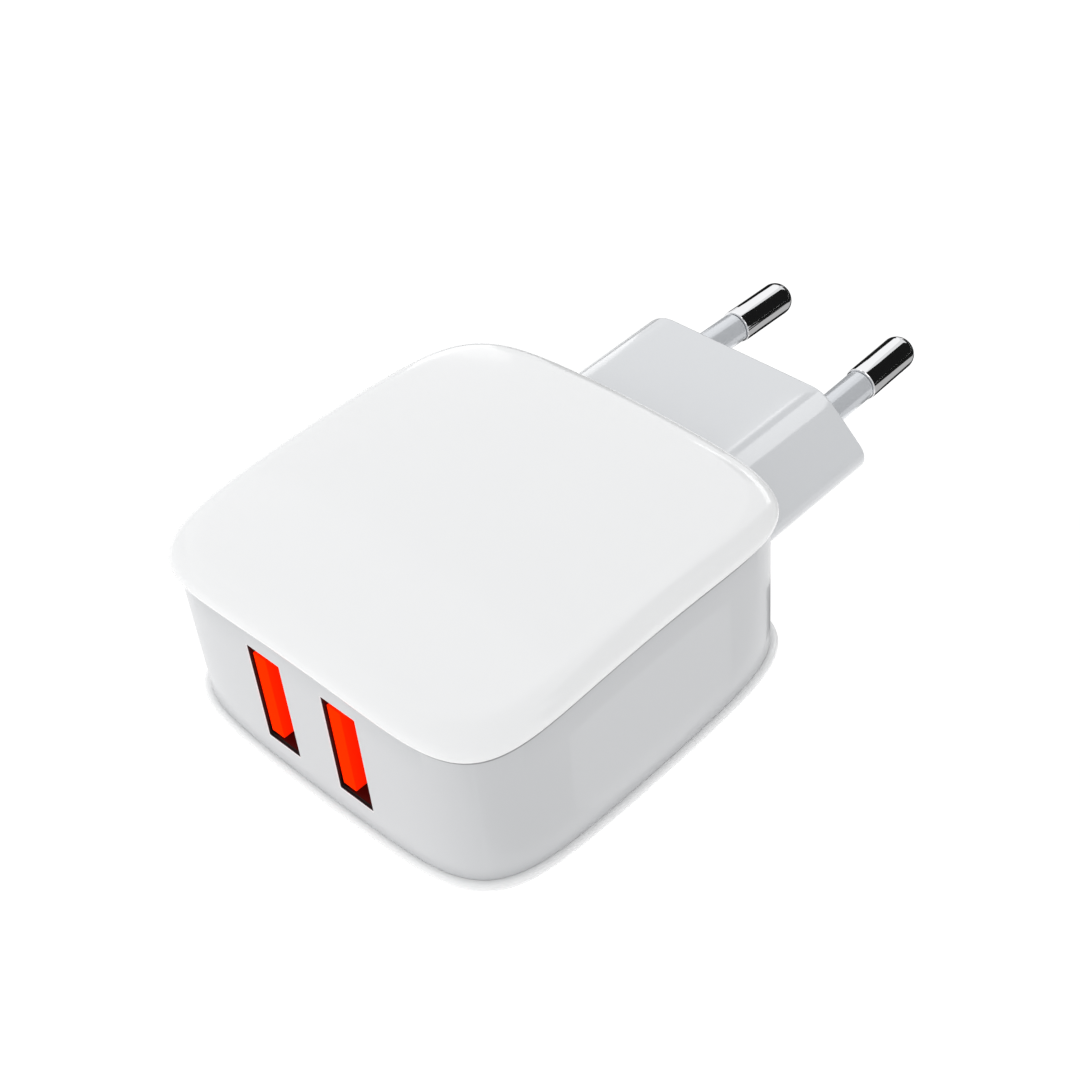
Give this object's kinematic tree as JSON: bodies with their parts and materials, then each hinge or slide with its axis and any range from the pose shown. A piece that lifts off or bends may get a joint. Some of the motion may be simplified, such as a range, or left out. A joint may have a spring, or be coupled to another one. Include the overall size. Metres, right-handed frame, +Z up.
{
  "type": "usb wall charger",
  "caption": "Compact mains charger: rounded square body with domed covers, round-pin flat plug on one side and upright USB sockets on the other.",
  "frame": {"origin": "middle of the plug's end face, between the pins", "axes": "+Y out along the pins, away from the body; +Z up, out through the top cover; +X to the right seen from the port side"},
  "size_m": [0.0484, 0.0852, 0.0258],
  "materials": {
    "gloss_white": "high gloss white",
    "matte_grey": "fine satin, pale grey",
    "plug_grey": "semi-gloss, pale grey",
    "sleeve": "semi-gloss, pale grey",
    "pin_metal": "polished nickel plate",
    "shell_steel": "rolled, tin plated",
    "red_insulator": "satin red-orange",
    "contact_gold": "gold flashed",
    "lead_brass": "stamped strip",
    "board_green": "solder mask over glass cloth",
    "solder": "bright tin",
    "ferrite": "dark sintered",
    "bobbin_white": "moulded",
    "copper": "enamelled copper wire",
    "yellow_tape": "polyester tape",
    "black_sleeve": "shrink sleeve",
    "green_sleeve": "shrink sleeve",
    "resistor_green": "cement coating",
    "chip_black": "moulded epoxy",
    "disc_blue": "epoxy dip",
    "chip_parts": "ceramic",
    "natural_nylon": "moulded",
    "barrier_sheet": "pressed board"
  },
  "bodies": {
    "charger": {"top_cover": "gloss_white", "bottom_cover": "gloss_white", "mid_frame": "matte_grey", "plug_housing": "plug_grey", "pin_carrier": "natural_nylon", "left_pin": "pin_metal", "right_pin": "pin_metal", "left_pin_sleeve": "sleeve", "right_pin_sleeve": "sleeve", "left_pin_lead": "lead_brass", "right_pin_lead": "lead_brass", "left_usb_shell": "shell_steel", "right_usb_shell": "shell_steel", "left_usb_insulator": "red_insulator", "right_usb_insulator": "red_insulator", "left_contact_tails": "contact_gold", "right_contact_tails": "contact_gold", "main_board": "board_green", "solder_joints": "solder", "transformer_core_left": "ferrite", "transformer_core_right": "ferrite", "transformer_bobbin": "bobbin_white", "transformer_winding": "copper", "transformer_tape": "yellow_tape", "transformer_pins": "solder", "input_capacitor_left": "black_sleeve", "input_capacitor_right": "black_sleeve", "output_capacitor_left": "green_sleeve", "output_capacitor_right": "green_sleeve", "capacitor_leads": "solder", "fuse_resistor": "resistor_green", "bridge_rectifier": "chip_black", "primary_controller": "chip_black", "synchronous_rectifier": "chip_black", "port_controller": "chip_black", "safety_capacitor": "disc_blue", "filter_inductor": "ferrite", "chip_components": "chip_parts", "insulation_barrier": "barrier_sheet"},
    "left_contacts": {"left_contact_springs": "contact_gold"},
    "right_contacts": {"right_contact_springs": "contact_gold"}
  },
  "joints": [
    {"name": "left_contact_press", "type": "hinge", "parent": "charger", "child": "left_contacts", "pos_m": [-0.00621, -0.0559, 0], "axis": [0, 0, -1], "range_deg": [0, 4], "stiffness_Nm_per_rad": 0.36},
    {"name": "right_contact_press", "type": "hinge", "parent": "charger", "child": "right_contacts", "pos_m": [0.00459, -0.0559, 0], "axis": [0, 0, -1], "range_deg": [0, 4], "stiffness_Nm_per_rad": 0.36}
  ]
}
